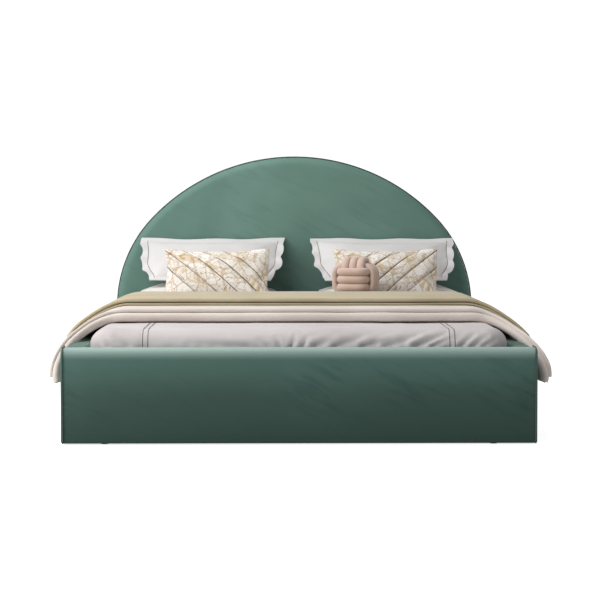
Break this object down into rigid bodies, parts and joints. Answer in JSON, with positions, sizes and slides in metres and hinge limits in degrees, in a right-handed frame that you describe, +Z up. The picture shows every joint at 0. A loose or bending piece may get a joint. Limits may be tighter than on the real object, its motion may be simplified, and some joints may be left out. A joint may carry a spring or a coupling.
{
  "type": "upholstered bed",
  "caption": "Velvet-covered double bed with an arched headboard, low padded rails, sprung slat base, mattress, duvet, folded blankets, pillows and cushions.",
  "frame": {"origin": "on the floor, under the middle of the bed's overall box", "axes": "+Z up, foot end towards -Y, headboard towards +Y, X across the bed"},
  "size_m": [1.9672, 2.2059, 1.1633],
  "materials": {
    "velvet": "satin",
    "piping": "matte",
    "foam": "matte",
    "back_cloth": "matte",
    "timber": "matte",
    "birch": "satin",
    "plastic": "matte",
    "powder_coat": "matte",
    "zinc": "satin",
    "ticking": "matte",
    "duvet_cotton": "matte",
    "blanket_wool": "matte",
    "throw_wool": "matte",
    "pillow_cotton": "matte",
    "sham_cotton": "matte",
    "cushion_print": "satin",
    "knot_velvet": "matte"
  },
  "bodies": {
    "bed_frame": {"base_centre_tube": "powder_coat", "base_foot_tube": "powder_coat", "base_head_tube": "powder_coat", "base_side_tube_left": "powder_coat", "base_side_tube_right": "powder_coat", "centre_leg_feet": "plastic", "centre_legs": "powder_coat", "corner_bolts": "zinc", "corner_bracket_foot_left": "powder_coat", "corner_bracket_foot_right": "powder_coat", "corner_bracket_head_left": "powder_coat", "corner_bracket_head_right": "powder_coat", "floor_glides": "plastic", "foot_ledge": "timber", "footboard_core": "timber", "footboard_cover": "velvet", "footboard_end_pads": "velvet", "footboard_foam": "foam", "footboard_piping": "piping", "head_ledge": "timber", "headboard_arch_rib": "timber", "headboard_back_cloth": "back_cloth", "headboard_battens": "timber", "headboard_board": "timber", "headboard_foam": "foam", "headboard_front_cover": "velvet", "headboard_piping": "piping", "headboard_side_boxing": "velvet", "side_ledge_left": "timber", "side_ledge_right": "timber", "side_rail_left_core": "timber", "side_rail_left_cover": "velvet", "side_rail_left_foam": "foam", "side_rail_right_core": "timber", "side_rail_right_cover": "velvet", "side_rail_right_foam": "foam", "slat_holders_centre": "plastic", "slat_holders_left": "plastic", "slat_holders_right": "plastic", "slats_left": "birch", "slats_right": "birch", "threaded_inserts": "zinc"},
    "mattress": {"mattress_border": "ticking", "mattress_bottom_panel": "ticking", "mattress_core": "foam", "mattress_top_panel": "ticking", "mattress_welts": "ticking"},
    "duvet": {"duvet": "duvet_cotton"},
    "blanket": {"blanket": "blanket_wool"},
    "throw": {"throw": "throw_wool"},
    "knot_cushion": {"knot_cushion": "knot_velvet"},
    "lower_pillow_left": {"lower_pillow_left": "pillow_cotton"},
    "lower_pillow_right": {"lower_pillow_right": "pillow_cotton"},
    "sham_left": {"sham_left": "sham_cotton"},
    "sham_right": {"sham_right": "sham_cotton"},
    "cushion_left": {"cushion_left": "cushion_print"},
    "cushion_right": {"cushion_right": "cushion_print"}
  },
  "joints": [
    {"name": "mattress_lift", "type": "slide", "parent": "bed_frame", "child": "mattress", "axis": [0, 0, 1], "range_m": [0, 0.3]},
    {"name": "duvet_lift", "type": "slide", "parent": "mattress", "child": "duvet", "axis": [0, 0, 1], "range_m": [0, 0.3]},
    {"name": "blanket_lift", "type": "slide", "parent": "duvet", "child": "blanket", "axis": [0, 0, 1], "range_m": [0, 0.3]},
    {"name": "throw_lift", "type": "slide", "parent": "blanket", "child": "throw", "axis": [0, 0, 1], "range_m": [0, 0.3]},
    {"name": "knot_cushion_lift", "type": "slide", "parent": "blanket", "child": "knot_cushion", "axis": [0, 0, 1], "range_m": [0, 0.3]},
    {"name": "lower_pillow_left_lift", "type": "slide", "parent": "duvet", "child": "lower_pillow_left", "axis": [0, 0, 1], "range_m": [0, 0.3]},
    {"name": "lower_pillow_right_lift", "type": "slide", "parent": "duvet", "child": "lower_pillow_right", "axis": [0, 0, 1], "range_m": [0, 0.3]},
    {"name": "sham_left_lift", "type": "slide", "parent": "lower_pillow_left", "child": "sham_left", "axis": [0, 0, 1], "range_m": [0, 0.3]},
    {"name": "sham_right_lift", "type": "slide", "parent": "lower_pillow_right", "child": "sham_right", "axis": [0, 0, 1], "range_m": [0, 0.3]},
    {"name": "cushion_left_lift", "type": "slide", "parent": "sham_left", "child": "cushion_left", "axis": [0, 0, 1], "range_m": [0, 0.3]},
    {"name": "cushion_right_lift", "type": "slide", "parent": "sham_right", "child": "cushion_right", "axis": [0, 0, 1], "range_m": [0, 0.3]}
  ]
}
